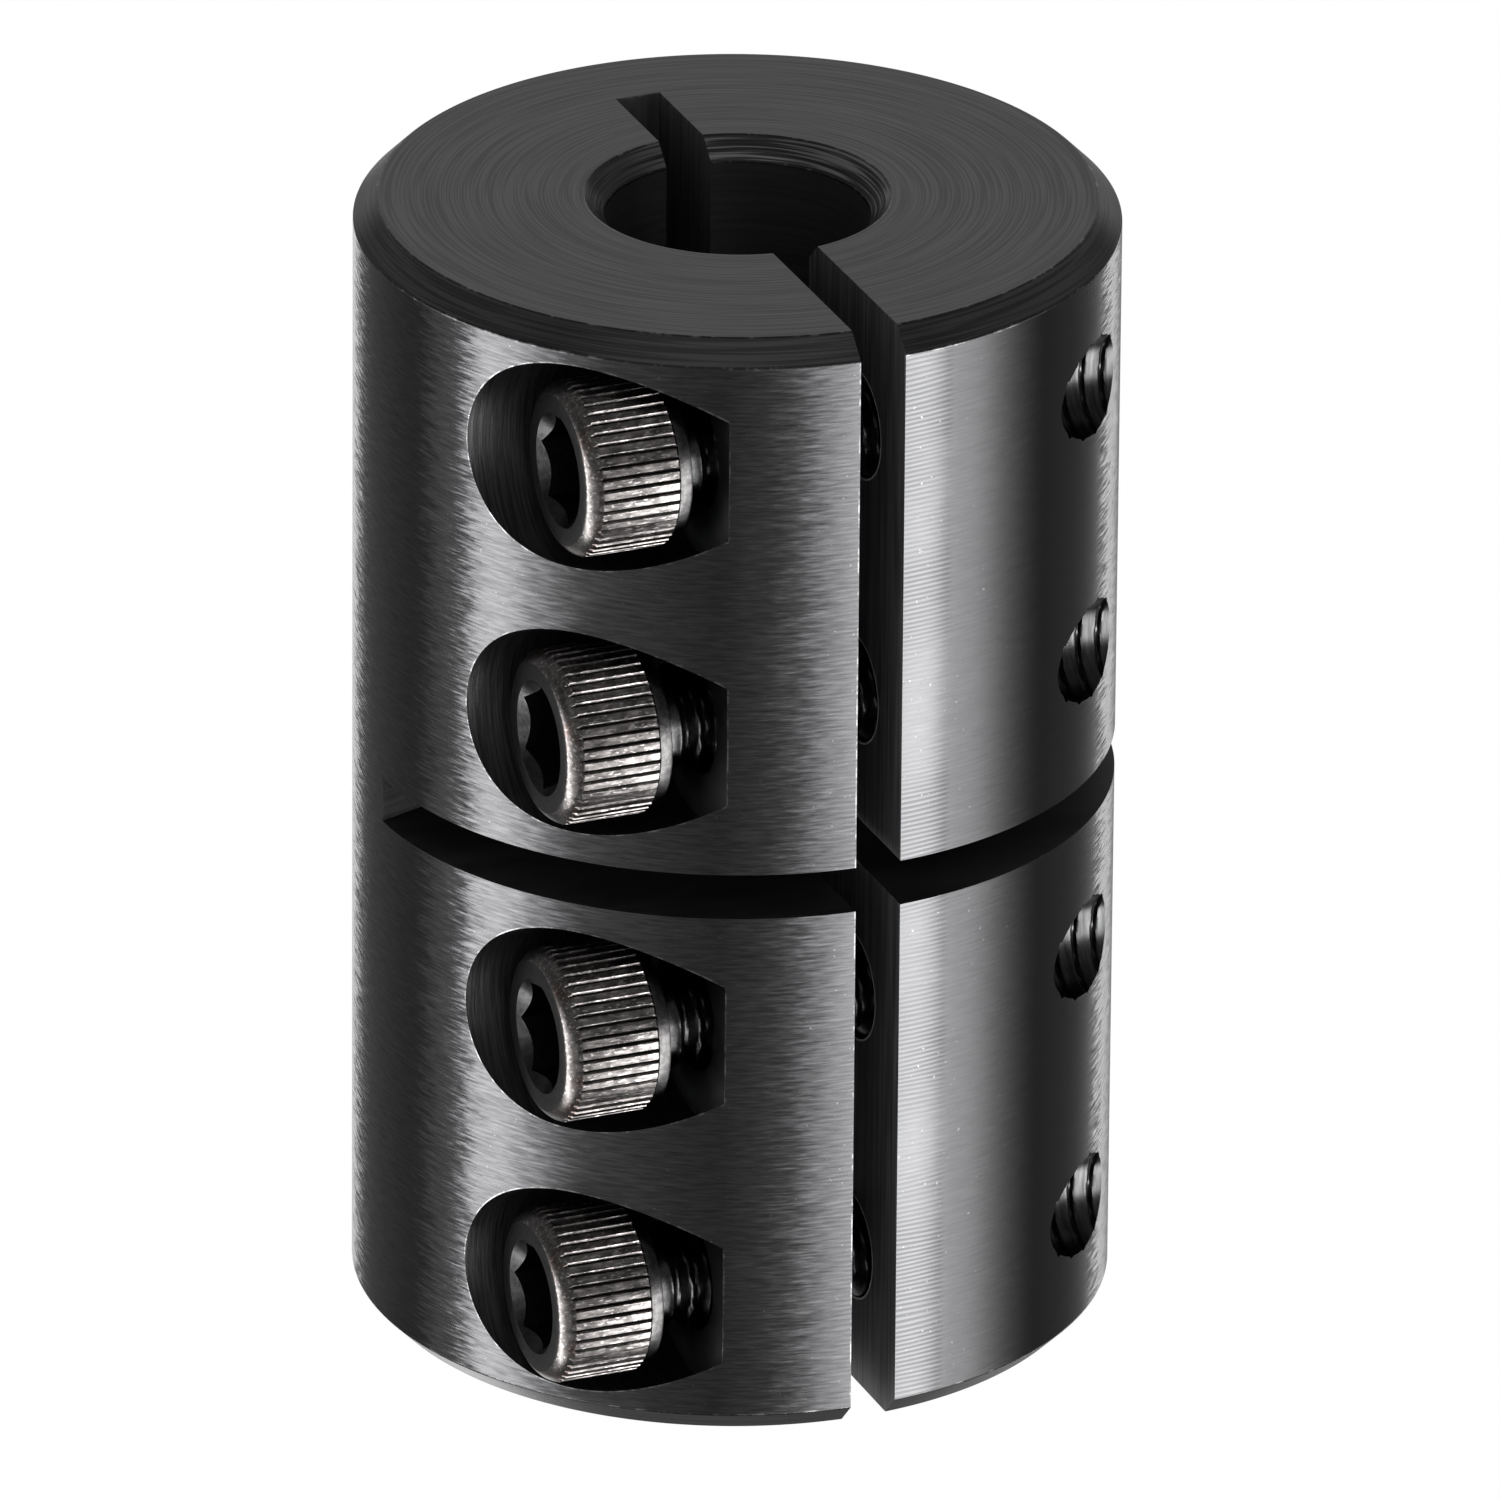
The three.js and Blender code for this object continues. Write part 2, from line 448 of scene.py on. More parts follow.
def add_socket(bm, surfaces):
    """The drill point, the hexagon and its conical mouth. Returns the mouth's ring."""
    face_x = -HEAD_HEIGHT
    floor_x = face_x + SOCKET_DEPTH
    flat = SOCKET_ACROSS_FLATS / 2
    count = THREAD_SEGMENTS
    drill = add_ring(bm, ring_about_x(floor_x, 0, 0, flat * DRILL_SHARE, count))
    close_ring(bm, drill, (floor_x + SOCKET_CONE_DEPTH, 0, 0), surfaces["socket"])
    floor = add_ring(bm, ring_about_x(floor_x, 0, 0, hexagon_radius, count))
    bridge(bm, drill, floor, surfaces["socket"])
    wall_top = ring_about_x(
        lambda angle: face_x + socket_mouth_depth(angle), 0, 0, hexagon_radius, count
    )
    wall = add_ring(bm, wall_top)
    bridge(bm, floor, wall, surfaces["socket"])
    mouth = add_ring(bm, ring_about_x(face_x, 0, 0, SOCKET_MOUTH_RADIUS, count))
    bridge(bm, wall, mouth, surfaces["mouth"])
    return mouth


def add_head(bm, mouth, surfaces):
    """The face, the rim's bevel, the knurled side and the band below it. Returns the last ring."""
    face_x = -HEAD_HEIGHT
    ring = add_ring(bm, ring_about_x(face_x, 0, 0, HEAD_FACE_RADIUS, HEAD_SEGMENTS))
    bridge(bm, mouth, ring, surfaces["face"])
    for step in range(1, RIM_BEVEL_STEPS + 1):
        share = step / RIM_BEVEL_STEPS
        turn = share * math.pi / 2
        bulge = RIM_ROUNDNESS * math.sin(turn) + (1 - RIM_ROUNDNESS) * share
        sink = RIM_ROUNDNESS * (1 - math.cos(turn)) + (1 - RIM_ROUNDNESS) * share
        limit = HEAD_FACE_RADIUS + (HEAD_RADIUS - HEAD_FACE_RADIUS) * bulge
        x = face_x + RIM_BEVEL_LENGTH * sink

        def radius_within_bevel(angle):
            return min(limit, knurled_radius(angle))

        following = add_ring(bm, ring_about_x(x, 0, 0, radius_within_bevel, HEAD_SEGMENTS))
        bridge(bm, ring, following, surfaces["rim"])
        ring = following
    corner = UNDERSIDE_CORNER
    for x, radius, surface in (
        (-UNDERSIDE_BAND - KNURL_RUNOUT, knurled_radius, "knurl"),
        (-UNDERSIDE_BAND, UNDERSIDE_RADIUS, "knurl"),
        (-corner, UNDERSIDE_RADIUS, "band"),
        (-corner / 3, UNDERSIDE_RADIUS - corner / 3, "band"),
        (0, UNDERSIDE_RADIUS - corner, "band"),
    ):
        following = add_ring(bm, ring_about_x(x, 0, 0, radius, HEAD_SEGMENTS))
        bridge(bm, ring, following, surfaces[surface])
        ring = following
    return ring


def add_shank(bm, underside, surfaces):
    """The fillet under the head, the right-hand thread and the chamfered tip."""
    root, crest = SCREW_THREAD_RADII
    neck = (root + crest) / 2
    ring = underside
    for share in (0, 0.3, 0.65, 1):
        radius = neck + FILLET_RADIUS * (1 - share) ** 2
        following = add_ring(bm, ring_about_x(FILLET_RADIUS * share, 0, 0, radius, THREAD_SEGMENTS))
        bridge(bm, ring, following, surfaces["band" if share == 0 else "shank"])
        ring = following
    rows = int((SHANK_LENGTH - THREAD_START) / THREAD_PITCH * THREAD_ROWS)
    for row in range(rows + 1):
        x = THREAD_START + (SHANK_LENGTH - THREAD_START) * row / rows
        fade = min((x - THREAD_START) / (THREAD_PITCH / 2), 1)
        tip = crest - max(x - (SHANK_LENGTH - TIP_CHAMFER), 0)

        def radius(angle):
            phase = x / THREAD_PITCH - angle / (2 * math.pi)
            cut = thread_radius(root, crest, phase, *SCREW_THREAD_SHARES)
            return min(neck + (cut - neck) * fade, tip)

        following = add_ring(bm, ring_about_x(x, 0, 0, radius, THREAD_SEGMENTS))
        bridge(bm, ring, following, surfaces["shank"])
        ring = following
    close_ring(bm, ring, (SHANK_LENGTH, 0, 0), surfaces["shank"])


def build_screws(materials):
    """Four cap screws of one mesh, each where its CAD node is and turned to its own angle."""
    surfaces = {name: index for index, name in enumerate(materials)}
    bm = bmesh.new()
    mouth = add_socket(bm, surfaces)
    underside = add_head(bm, mouth, surfaces)
    add_shank(bm, underside, surfaces)
    pattern = make_object("socket_cap_screw_1", bm, materials.values())
    smooth_with_sharp_edges(pattern)
    pattern.data.transform(Matrix.Scale(MM, 4))
    screws = []
    for number in SCREW_NUMBERS:
        low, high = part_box(f"cap_screw_{number}")
        screw = pattern
        if number > 1:
            screw = pattern.copy()
            screw.name = f"socket_cap_screw_{number}"
            bpy.context.scene.collection.objects.link(screw)
        underside_x = low.x + HEAD_HEIGHT * MM
        screw.location = (underside_x, (low.y + high.y) / 2, (low.z + high.z) / 2)
        screw.rotation_euler.x = math.radians(SOCKET_TURNS[number])
        screws.append(screw)
    return screws


# ---------------------------------------------------------------- materials

class Graph:
    """A new material, and short calls that build its nodes. Textures work in millimetres."""

    def __init__(self, name):
        self.material = bpy.data.materials.new(name)
        self.material.use_nodes = True
        self.tree = self.material.node_tree
        self.tree.nodes.clear()
        place = self.node("ShaderNodeTexCoord").outputs["Object"]
        self.place = self.vector_math("SCALE", place, scale=1 / MM)

    def node(self, kind, inputs=None, **settings):
        made = self.tree.nodes.new(kind)
        for name, value in settings.items():
            setattr(made, name, value)
        for socket, value in (inputs or {}).items():
            self.feed(made.inputs[socket], value)
        return made

    def feed(self, socket, value):
        """Links a node's output to an input, or sets the input to a number, a place or a colour."""
        if isinstance(value, bpy.types.NodeSocket):
            self.tree.links.new(value, socket)
        elif socket.type == "RGBA":
            socket.default_value = (*value, 1)
        else:
            socket.default_value = value

    def math(self, operation, first, second=0.0, clamp=False):
        inputs = {0: first, 1: second}
        return self.node("ShaderNodeMath", inputs, operation=operation, use_clamp=clamp).outputs[0]

    def vector_math(self, operation, first, second=(0, 0, 0), scale=1.0):
        inputs = {0: first, 1: second, 3: scale}
        made = self.node("ShaderNodeVectorMath", inputs, operation=operation)
        return made.outputs["Value" if operation in ("LENGTH", "DOT_PRODUCT") else "Vector"]

    def stretched(self, scales):
        """Object coordinates multiplied by a scale for each axis."""
        return self.vector_math("MULTIPLY", self.place, scales)

    def rings_about_z(self, across, along):
        """Coordinates for marks that run round the Z axis on a face: fine in radius, long in angle."""
        flat = self.vector_math("MULTIPLY", self.place, (1, 1, 0))
        radius = self.math("MULTIPLY", self.vector_math("LENGTH", flat), across)
        slow = self.vector_math("MULTIPLY", self.place, (along, along, 0))
        lift = self.node("ShaderNodeCombineXYZ", {"Z": radius}).outputs[0]
        return self.vector_math("ADD", slow, lift)

    def along(self, axis):
        """Object coordinate along an axis, in millimetres."""
        return self.node("ShaderNodeSeparateXYZ", {0: self.place}).outputs[axis]

    def sawtooth(self, pitch):
        """A ramp from 0 to 1 that repeats along Z, a little out of step from place to place."""
        drift = self.noise(self.stretched((0.12, 0.12, 0.4)), detail=1, offset=9.0)
        turns = self.math("DIVIDE", self.along("Z"), pitch)
        return self.math("FRACT", self.math("ADD", turns, self.math("MULTIPLY", drift, 3.0)))

    def band(self, value, width):
        """1 where the value is between 0 and a width, and 0 elsewhere."""
        inside = self.math("GREATER_THAN", value, 0.0)
        return self.math("MULTIPLY", inside, self.math("LESS_THAN", value, width))

    def noise(self, vector, scale=1.0, detail=2.0, roughness=0.5, offset=0.0):
        inputs = {
            "Vector": vector,
            "W": offset,
            "Scale": scale,
            "Detail": detail,
            "Roughness": roughness,
        }
        return self.node("ShaderNodeTexNoise", inputs, noise_dimensions="4D").outputs["Fac"]

    def fit(self, value, low, high, to_low=0.0, to_high=1.0):
        """The value mapped from one range to another, smoothly and clamped."""
        inputs = {0: value, 1: low, 2: high, 3: to_low, 4: to_high}
        return self.node("ShaderNodeMapRange", inputs, interpolation_type="SMOOTHSTEP").outputs[0]

    def mix(self, factor, first, second):
        """The first colour where the factor is 0, and the second where it is 1."""
        inputs = {0: factor, 6: first, 7: second}
        return self.node("ShaderNodeMix", inputs, data_type="RGBA").outputs[2]

    def bump(self, height, distance, normal=None):
        """Bump whose full height is a distance in millimetres."""
        inputs = {"Height": height, "Distance": distance * MM, "Strength": 1.0}
        if normal is not None:
            inputs["Normal"] = normal
        return self.node("ShaderNodeBump", inputs).outputs[0]

    def swayed_normal(self, amount):
        """The normal leant round the Z axis by an amount, as a groove's uneven walls lean."""
        tangent = self.node("ShaderNodeTangent", direction_type="RADIAL", axis="Z").outputs[0]
        lean = self.vector_math("SCALE", tangent, scale=amount)
        normal = self.node("ShaderNodeNewGeometry").outputs["Normal"]
        return self.vector_math("NORMALIZE", self.vector_math("ADD", normal, lean))

    def metal(self, colour, roughness, normal=None, anisotropy=0.0, turn=0.0, metallic=1.0):
        """Ends the material as bare or oxided metal. Anisotropy is about the Z axis."""
        shader = self.node("ShaderNodeBsdfPrincipled", {"Metallic": metallic})
        self.feed(shader.inputs["Base Color"], colour)
        self.feed(shader.inputs["Roughness"], roughness)
        if normal is not None:
            self.feed(shader.inputs["Normal"], normal)
        if anisotropy:
            tangent = self.node("ShaderNodeTangent", direction_type="RADIAL", axis="Z")
            self.feed(shader.inputs["Anisotropic"], anisotropy)
            self.feed(shader.inputs["Anisotropic Rotation"], turn)
            self.feed(shader.inputs["Tangent"], tangent.outputs[0])
        output = self.node("ShaderNodeOutputMaterial")
        self.tree.links.new(shader.outputs[0], output.inputs["Surface"])
        return self.material


# Colours, in linear red, green and blue. Each pair is the two ends of a mix.
OXIDE = (0.058, 0.058, 0.06)
OXIDE_DEEP = (0.036, 0.036, 0.037)
OXIDE_WORN = (0.085, 0.085, 0.086)
OXIDE_EVEN = (0.049, 0.049, 0.05)
# Painted shade: the dark feed lines across the lit band beside the slit.
OXIDE_SHADED = (0.02, 0.02, 0.021)
OXIDE_RING_TONES = ((0.045, 0.045, 0.046), (0.08, 0.08, 0.082))
CHAMFER_TONES = ((0.058, 0.058, 0.059), (0.1, 0.1, 0.102))
BORE_TONES = ((0.03, 0.03, 0.03), (0.045, 0.045, 0.045))
SAWN_TONES = ((0.03, 0.03, 0.03), (0.12, 0.12, 0.122))
MILLED_TONES = ((0.016, 0.016, 0.016), (0.05, 0.05, 0.051))
THREAD_TONES = ((0.02, 0.02, 0.02), (0.052, 0.052, 0.053))
# A painted highlight on the rings of the bore mouths, towards one side.
MOUTH_PAINTED_HIGHLIGHT = (0.22, 0.22, 0.224)
# Rubbed bare metal on the edges and rims, lightened also as a painted highlight.
BARE_EDGE_AND_HIGHLIGHT = (0.14, 0.14, 0.142)
# A painted highlight round the tapped holes' mouths in the slit's walls.
HOLE_RIM_PAINTED_HIGHLIGHT = (0.5, 0.5, 0.5)
KNURL_TONES = ((0.012, 0.011, 0.011), (0.17, 0.158, 0.154))  # the grooves' and the crests'
KNURL_GRIME = (0.03, 0.028, 0.028)
SCREW_SPECK = (0.27, 0.255, 0.25)
SCREW_WARM_CAST = (0.1, 0.06, 0.047)
SCREW_RIM = (0.15, 0.14, 0.137)
SCREW_BAND = (0.06, 0.058, 0.058)
SCREW_FACE = (0.045, 0.045, 0.045)
SCREW_THREAD = (0.045, 0.045, 0.045)
SCREW_SOCKET = (0.03, 0.03, 0.03)
SCREW_SOCKET_MOUTH = (0.04, 0.04, 0.04)
SCREW_DARKEST_SHARE = 0.45  # of each screw colour, in its darkest grain

# Places of the marks on the sleeve, in millimetres. Each pair is where a change starts and ends.
# Width of the rims that are partly rubbed metal, partly painted highlight.
RIM_WEAR_AND_HIGHLIGHT_WIDTH = 0.05
HOLE_RIM_WIDTH = 0.08
FEED_PITCH = 0.19
HEADS_END_X = (-4.0, 1.0)
TIPS_START_X = (10.4, 11.4)
# Where the painted shade of the feed lines fades out.
FEED_FADES_X = (2.7, 3.1)
BACK_STARTS_Y = (1.0, 3.0)
# The side of the bore mouths whose rings get the painted highlight.
MOUTH_HIGHLIGHT_TOWARDS = (0.8, 0.6, 0)
ACROSS_GROOVES = 0.25  # a quarter turn from the tangent round the axis


def rim_wear_and_highlights(graph, axes):
    """Factor of the bare metal and painted highlight beside the slit's -X edge, round the pockets and
    along their shoulders.

    axes are the screws' (y, z) places.
    """
    across = graph.along("X")
    # Only the slit's -X edge gets it, as a painted highlight.
    past_slit = graph.math("SUBTRACT", graph.math("MULTIPLY", across, -1.0), SLIT_WIDTH / 2)
    in_front = graph.math("LESS_THAN", graph.along("Y"), 0.0)
    rims = graph.math("MULTIPLY", graph.band(past_slit, RIM_WEAR_AND_HIGHLIGHT_WIDTH), in_front)
    past_shoulder = graph.math("SUBTRACT", across, SHOULDER_X)
    on_pocket_side = graph.math("LESS_THAN", past_shoulder, 0.0)
    by_shoulder = graph.band(past_shoulder, RIM_WEAR_AND_HIGHLIGHT_WIDTH)
    for y, z in axes:
        from_axis = graph.vector_math("SUBTRACT", graph.stretched((0, 1, 1)), (0, y, z))
        past_pocket = graph.math("SUBTRACT", graph.vector_math("LENGTH", from_axis), POCKET_RADIUS)
        by_pocket = graph.band(past_pocket, RIM_WEAR_AND_HIGHLIGHT_WIDTH)
        round_pocket = graph.math("MULTIPLY", by_pocket, on_pocket_side)
        in_pocket = graph.math("LESS_THAN", past_pocket, 0.0)
        along_shoulder = graph.math("MULTIPLY", by_shoulder, in_pocket)
        rims = graph.math("MAXIMUM", rims, round_pocket)
        rims = graph.math("MAXIMUM", rims, along_shoulder)
    broken = graph.noise(graph.stretched((1, 1, 1)), scale=1.6, detail=3, roughness=0.7, offset=2.0)
    return graph.math("MULTIPLY", rims, graph.fit(broken, 0.46, 0.62))


def sawn_slit(axes):
    """The slit's walls: upright saw marks, and a painted highlight as a bright rim round each tapped
    hole.

    axes are the screws' (y, z) places.
    """
    graph = Graph("oxide_sawn_slit")
    marks = graph.noise(graph.stretched((1.0, 6.0, 0.12)), detail=3, roughness=0.6)
    tone = graph.mix(graph.fit(marks, 0.3, 0.7), *SAWN_TONES)
    for y, z in axes:
        from_axis = graph.vector_math("SUBTRACT", graph.stretched((0, 1, 1)), (0, y, z))
        past_hole = graph.math("SUBTRACT", graph.vector_math("LENGTH", from_axis), TAPPED_RADIUS)
        # Painted highlight: a bright ring round each tapped hole.
        tone = graph.mix(graph.band(past_hole, HOLE_RIM_WIDTH), tone, HOLE_RIM_PAINTED_HIGHLIGHT)
    return graph.metal(tone, 0.6, graph.bump(marks, 0.006), metallic=0.2)


def turned_side(axes):
    """The turned outside: pits in the oxide, a few bright specks, and fine grooves round the axis.

    The grooves are uneven brush marks at the screw heads and tips, and even feed lines by the slit,
    drawn in painted shade only where the side is lit.
    axes are the screws' (y, z) places.
    """
    graph = Graph("oxide_turned_side")
    fine = graph.noise(graph.stretched((0.9, 0.9, 12.0)), detail=2, roughness=0.6)
    lean = graph.noise(graph.stretched((1.1, 1.1, 11.0)), detail=2, roughness=0.6, offset=3.0)
    pits = graph.noise(graph.stretched((1.6, 1.6, 4.0)), scale=2.2, detail=2, offset=7.0)
    specks = graph.noise(graph.stretched((1, 1, 1)), scale=6.0, detail=1, offset=11.0)
    across = graph.along("X")
    past_heads = graph.fit(across, *HEADS_END_X)
    by_tips = graph.fit(across, *TIPS_START_X)
    calm = graph.math("SUBTRACT", past_heads, by_tips)
    tone = graph.mix(graph.fit(fine, 0.3, 0.7), OXIDE_DEEP, OXIDE)
    tone = graph.mix(graph.math("MULTIPLY", calm, 0.7), tone, OXIDE_EVEN)
    # Painted shade: the feed marks drawn as dark lines only beside the slit, where the side is lit.
    feed = graph.fit(graph.sawtooth(FEED_PITCH), 0.35, 0.65, 0.0, 0.65)
    feed = graph.math("MULTIPLY", feed, graph.fit(across, *FEED_FADES_X, 1.0, 0.12))
    patches = graph.noise(graph.stretched((0.1, 0.1, 0.16)), detail=2, offset=5.0)
    kept = graph.math("MULTIPLY", calm, graph.fit(patches, 0.35, 0.6, 0.15, 1.0))
    tone = graph.mix(graph.math("MULTIPLY", feed, kept), tone, OXIDE_SHADED)
    tone = graph.mix(graph.fit(pits, 0.7, 0.78), tone, OXIDE_DEEP)
    tone = graph.mix(graph.fit(specks, 0.72, 0.77), tone, OXIDE_WORN)
    # Partly rubbed bare metal, partly a painted highlight along the rims.
    tone = graph.mix(rim_wear_and_highlights(graph, axes), tone, BARE_EDGE_AND_HIGHLIGHT)
    amount = graph.fit(calm, 0.0, 1.0, 0.26, 0.04)
    sway = graph.math("MULTIPLY", graph.math("SUBTRACT", lean, 0.5), amount)
    by_back = graph.fit(graph.along("Y"), *BACK_STARTS_Y)
    uneven = graph.math("MAXIMUM", by_tips, by_back)
    sway = graph.math("MULTIPLY", sway, graph.fit(uneven, 0.0, 1.0, 1.0, 1.8))
    normal = graph.bump(fine, 0.001, graph.swayed_normal(sway))
    return graph.metal(tone, 0.24, normal, anisotropy=1.0, turn=ACROSS_GROOVES)


def turned_rings(name, tones, roughness, height):
    """The faced ends and the chamfers: fine rings round the bore, of a height in millimetres."""
    graph = Graph(name)
    fine = graph.noise(graph.rings_about_z(16.0, 0.2), detail=0)
    tone = graph.mix(graph.fit(fine, 0.36, 0.64), *tones)
    return graph.metal(tone, roughness, graph.bump(fine, height))


def bore_mouth():
    """The mouths' chamfers: coarser rings, with a painted highlight on the rings towards one side."""
    graph = Graph("oxide_bore_chamfer")
    fine = graph.noise(graph.rings_about_z(15.0, 0.25), detail=1, roughness=0.6)
    toward = graph.vector_math("DOT_PRODUCT", graph.place, MOUTH_HIGHLIGHT_TOWARDS)
    # Painted highlight: the rings brighten towards that side.
    bright_marks = graph.math("MULTIPLY", graph.fit(fine, 0.48, 0.6), graph.fit(toward, 0.5, 3.5))
    tone = graph.mix(graph.fit(fine, 0.36, 0.64), OXIDE_DEEP, OXIDE_WORN)
    tone = graph.mix(bright_marks, tone, MOUTH_PAINTED_HIGHLIGHT)
    return graph.metal(tone, 0.3, graph.bump(fine, 0.02))


def plain_oxide(name, tones, scales, height, roughness, metallic=1.0):
    """Oxide over tool marks of a height in millimetres, stretched by the scales."""
    graph = Graph(name)
    marks = graph.noise(graph.stretched(scales), detail=3, roughness=0.6)
    tone = graph.mix(graph.fit(marks, 0.3, 0.7), *tones)
    return graph.metal(tone, roughness, graph.bump(marks, height), metallic=metallic)


def edge_wear_and_highlight():
    """The narrow faces along the edges, where the oxide is rubbed through in places, lightened also as
    a painted highlight.
    """
    graph = Graph("oxide_edge_wear_and_highlight")
    bright_marks = graph.noise(graph.stretched((1, 1, 1)), scale=1.4, detail=4, roughness=0.7)
    # Partly rubbed metal, partly a painted highlight along the edges.
    tone = graph.mix(graph.fit(bright_marks, 0.5, 0.66), OXIDE_DEEP, BARE_EDGE_AND_HIGHLIGHT)
    return graph.metal(tone, 0.32, graph.bump(bright_marks, 0.02))


def sleeve_materials(axes):
    """One material for each kind of the sleeve's surfaces. axes are the screws' (y, z) places."""
    return {
        "side": turned_side(axes),
        "end": turned_rings("oxide_faced_end", OXIDE_RING_TONES, roughness=0.4, height=0.006),
        "chamfer": turned_rings("oxide_outer_chamfer", CHAMFER_TONES, roughness=0.27, height=0.004),
        "mouth": bore_mouth(),
        "bore": plain_oxide(
            "oxide_bore", BORE_TONES, (0.2, 0.2, 5.0), height=0.004, roughness=0.6, metallic=0.3
        ),
        "slit": sawn_slit(axes),
        "cross_slot": plain_oxide(
            "oxide_sawn_cross_slot",
            MILLED_TONES,
            (0.12, 0.4, 6.0),
            height=0.006,
            roughness=0.6,
            metallic=0.45,
        ),
        "pocket": plain_oxide(
            "oxide_milled_pocket",
            MILLED_TONES,
            (9.0, 0.4, 0.4),
            height=0.02,
            roughness=0.45,
            metallic=0.7,
        ),
        "thread": plain_oxide(
            "oxide_tapped_thread", THREAD_TONES, (5.0, 0.5, 0.5), height=0.004, roughness=0.32
        ),
        "edge": edge_wear_and_highlight(),
    }


def knurled_side():
    """Knurled side of a screw's head: silvery crests with bright specks, and dark grooves."""
    graph = Graph("oxide_knurled_side")
    radius = graph.vector_math("LENGTH", graph.vector_math("MULTIPLY", graph.place, (0, 1, 1)))
    crest = graph.fit(radius, HEAD_RADIUS - KNURL_DEPTH, HEAD_RADIUS)
    grain = graph.noise(graph.stretched((0.8, 4.0, 4.0)), detail=4, roughness=0.7)
    scuffs = graph.noise(graph.stretched((1, 1, 1)), scale=2.0, detail=3, offset=4.0)
    wear = graph.math("MULTIPLY", crest, graph.fit(scuffs, 0.3, 0.65, 0.35, 1.0))
    tone = graph.mix(wear, *KNURL_TONES)
    tone = graph.mix(graph.fit(grain, 0.42, 0.66, 0.0, 0.85), tone, KNURL_GRIME)
    specks = graph.noise(graph.stretched((4.0, 10.0, 10.0)), detail=1, offset=8.0)
    bright = graph.math("MULTIPLY", graph.fit(specks, 0.54, 0.68), graph.fit(crest, 0.3, 1.0))
    tone = graph.mix(bright, tone, SCREW_SPECK)
    return graph.metal(tone, 0.32, graph.bump(grain, 0.025))


def screw_surface(name, tone, roughness, warm=0.0):
    """The screws' other surfaces: thin grainy oxide. A worn one has a warm cast and specks."""
    graph = Graph(name)
    grain = graph.noise(graph.stretched((1, 1, 1)), scale=5.0, detail=4, roughness=0.65)
    dark = tuple(SCREW_DARKEST_SHARE * channel for channel in tone)
    colour = graph.mix(graph.fit(grain, 0.3, 0.7), dark, tone)
    if warm:
        patches = graph.noise(graph.stretched((1, 1, 1)), scale=1.1, detail=3, offset=6.0)
        colour = graph.mix(graph.fit(patches, 0.5, 0.7, 0.0, warm), colour, SCREW_WARM_CAST)
        specks = graph.noise(graph.stretched((9.0, 9.0, 9.0)), detail=1, offset=8.0)
        colour = graph.mix(graph.fit(specks, 0.56, 0.68), colour, SCREW_SPECK)
    return graph.metal(colour, roughness, graph.bump(grain, 0.008))


def screw_materials():
    """One material for each part of a screw's surface."""
    return {
        "socket": screw_surface("oxide_screw_socket", SCREW_SOCKET, roughness=0.5),
        "mouth": screw_surface("oxide_screw_socket_mouth", SCREW_SOCKET_MOUTH, roughness=0.3),
        "face": screw_surface("oxide_screw_face", SCREW_FACE, roughness=0.4),
        "rim": screw_surface("oxide_screw_rim", SCREW_RIM, roughness=0.28, warm=0.6),
        "knurl": knurled_side(),
        "band": screw_surface("oxide_screw_band", SCREW_BAND, roughness=0.3),
        "shank": screw_surface("oxide_screw_thread", SCREW_THREAD, roughness=0.3),
    }


# ---------------------------------------------------------------- stage, light, camera

# Stage sizes, in metres
FLOOR_RADIUS = 0.6
FLOOR_SEGMENTS = 96
FLOOR_GAP = 0.0002  # below the object, so that their faces don't meet
PANEL_RADIUS = 2.2
PANEL_COLUMNS = 64
WORLD_TONE = 0.24

# Softboxes and lit parts of the table: (degrees round from the camera, strength) stops, and heights
# in metres. The sleeve's upright side reflects what lies below the horizon.
LEFT_PANEL = (
    (-105, 0), (-102, 5), (-87, 6), (-84, 66), (-76, 56), (-69, 44),
    (-64, 24), (-54, 10), (-48, 6), (-34, 4), (-20, 2.6), (-4, 1.8),
)
RIGHT_PANEL = (
    (-4, 1.8), (11, 3.6), (20, 8), (34, 36), (50, 70), (57, 86),
    (63, 84), (64, 36), (76, 31), (84, 15.5), (90, 7.5), (97, 3), (104, 0),
)
BACK_PANEL = ((140, 0), (160, 0.66), (200, 0.66), (220, 0))
FLOOR_GLOW = (
    (145, 0), (149, 3.2), (156, 2.2), (161, 0.4), (186, 0.2), (191, 1.7), (200, 2.2), (203, 0),
)
FRONT_PANEL = ((-80, 0), (-50, 0.4), (50, 0.4), (80, 0))
SIDE_PANEL_HEIGHTS = (-3.6, 0.15)
SIDE_PANEL_SHARE = 0.225  # of the side panels' stops
BACK_PANEL_HEIGHTS = (0.0, 3.0)
FRONT_PANEL_HEIGHTS = (0.6, 6.0)
FLOOR_GLOW_HEIGHTS = (-2.5, -0.55)


def emitting(name, attribute=None):
    """A material that glows with strength 1, or by a mesh attribute."""
    material = bpy.data.materials.new(name)
    material.use_nodes = True
    tree = material.node_tree
    tree.nodes.clear()
    glow = tree.nodes.new("ShaderNodeEmission")
    glow.inputs["Strength"].default_value = 1.0
    if attribute:
        source = tree.nodes.new("ShaderNodeAttribute")
        source.attribute_name = attribute
        tree.links.new(source.outputs["Fac"], glow.inputs["Strength"])
    output = tree.nodes.new("ShaderNodeOutputMaterial")
    tree.links.new(glow.outputs[0], output.inputs["Surface"])
    return material


def between_stops(stops, where):
    """The value at a place between stops of (place, value)."""
    for (start, low), (end, high) in zip(stops, stops[1:]):
        if start <= where <= end:
            return low + (high - low) * (where - start) / (end - start)
    return 0.0


def camera_direction(azimuth, elevation):
    """The way from the object to a camera at these angles, in degrees."""
    a, e = math.radians(azimuth), math.radians(elevation)
    return Vector((math.sin(a) * math.cos(e), -math.cos(a) * math.cos(e), math.sin(e)))


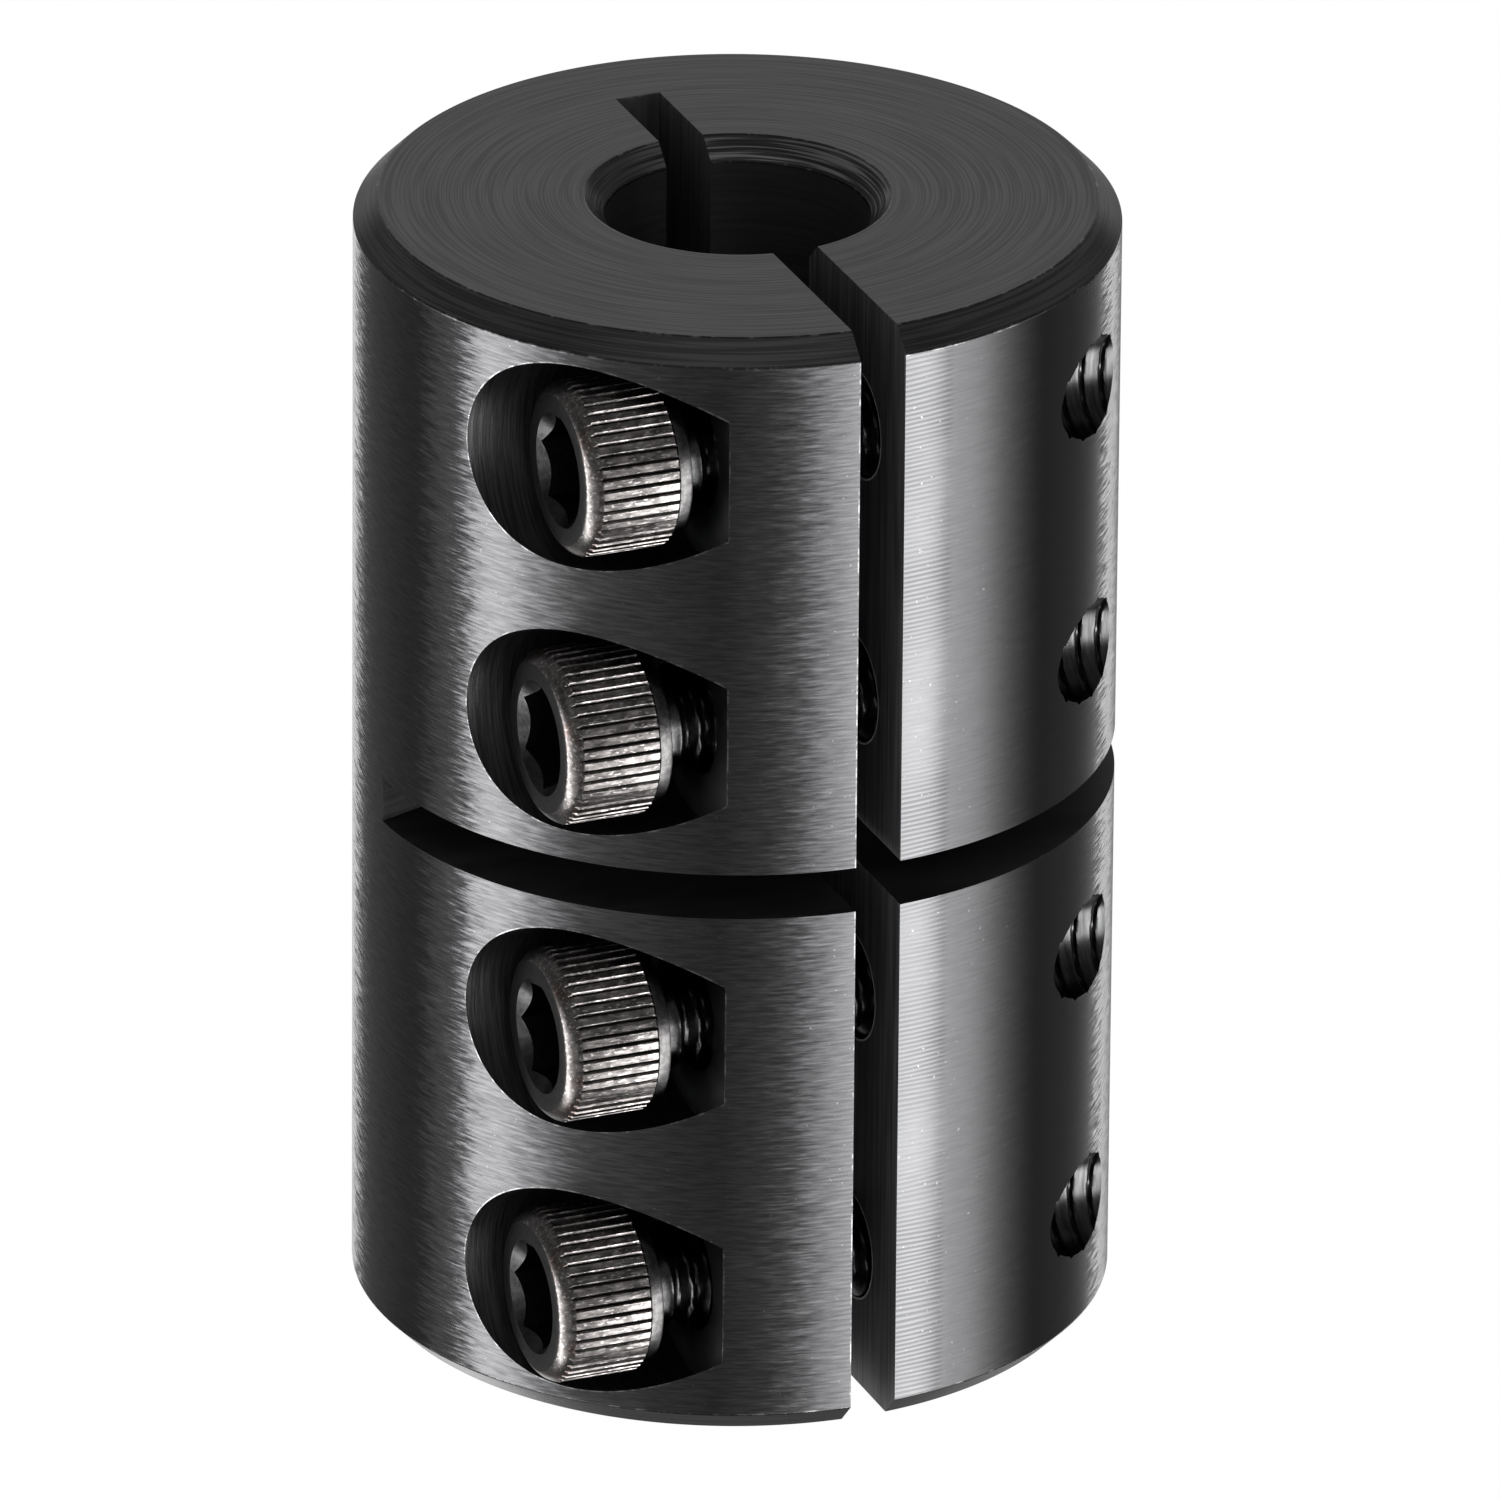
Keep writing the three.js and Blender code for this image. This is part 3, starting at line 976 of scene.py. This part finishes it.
def add_floor():
    """A plain white disc, which doesn't show in the object's reflections."""
    bm = bmesh.new()
    bmesh.ops.create_circle(bm, cap_ends=True, radius=FLOOR_RADIUS, segments=FLOOR_SEGMENTS)
    floor = make_object("floor", bm, [emitting("floor_white")])
    floor.location.z = -FLOOR_GAP
    floor.visible_glossy = False


def add_panel(name, stops, heights, share=1.0):
    """A tall curved softbox round the object, with its brightness set by the stops."""
    bm = bmesh.new()
    glow = bm.verts.layers.float.new("glow")
    first, last = stops[0][0], stops[-1][0]
    previous = None
    for column in range(PANEL_COLUMNS + 1):
        place = first + (last - first) * column / PANEL_COLUMNS
        outward = camera_direction(CAMERA_AZIMUTH + place, 0) * PANEL_RADIUS
        pair = [bm.verts.new((outward.x, outward.y, height)) for height in heights]
        for vertex in pair:
            vertex[glow] = between_stops(stops, place) * share
        if previous:
            bm.faces.new((previous[0], pair[0], pair[1], previous[1]))
        previous = pair
    panel = make_object(name, bm, [emitting(name + "_light", "glow")])
    panel.visible_camera = False


def add_world(tone):
    world = bpy.data.worlds.new("studio")
    world.use_nodes = True
    world.node_tree.nodes["Background"].inputs["Color"].default_value = (tone, tone, tone, 1)
    bpy.context.scene.world = world


def add_camera():
    data = bpy.data.cameras.new("photo_camera")
    data.sensor_width = CAMERA_SENSOR
    data.lens = CAMERA_LENS
    data.clip_end = CAMERA_CLIP_END_M
    camera = bpy.data.objects.new("photo_camera", data)
    bpy.context.scene.collection.objects.link(camera)
    back = camera_direction(CAMERA_AZIMUTH, CAMERA_ELEVATION)
    upright = (-back).to_track_quat("-Z", "Y").to_matrix()
    right, up = upright.col[0], upright.col[1]
    aim = Vector((0, 0, LENGTH / 2)) + right * CAMERA_OFFSET[0] + up * CAMERA_OFFSET[1]
    turned = upright @ Matrix.Rotation(math.radians(CAMERA_ROLL), 3, "Z")
    camera.matrix_world = Matrix.Translation((aim + back * CAMERA_DISTANCE) * MM) @ turned.to_4x4()
    bpy.context.scene.camera = camera


# ---------------------------------------------------------------- assembly

axes = screw_axes()
sleeve = build_sleeve(sleeve_materials(axes), axes)
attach(sleeve, "sleeve")
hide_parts("coupling_sleeve")

for number, screw in zip(SCREW_NUMBERS, build_screws(screw_materials())):
    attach(screw, f"screw_{number}")
    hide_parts(f"cap_screw_{number}")

add_floor()
add_panel("left_softbox", LEFT_PANEL, SIDE_PANEL_HEIGHTS, SIDE_PANEL_SHARE)
add_panel("right_softbox", RIGHT_PANEL, SIDE_PANEL_HEIGHTS, SIDE_PANEL_SHARE)
add_panel("back_softbox", BACK_PANEL, BACK_PANEL_HEIGHTS)
add_panel("front_softbox", FRONT_PANEL, FRONT_PANEL_HEIGHTS)
add_panel("back_floor_glow", FLOOR_GLOW, FLOOR_GLOW_HEIGHTS)
add_world(WORLD_TONE)
add_camera()
bpy.context.scene.view_settings.view_transform = "Standard"
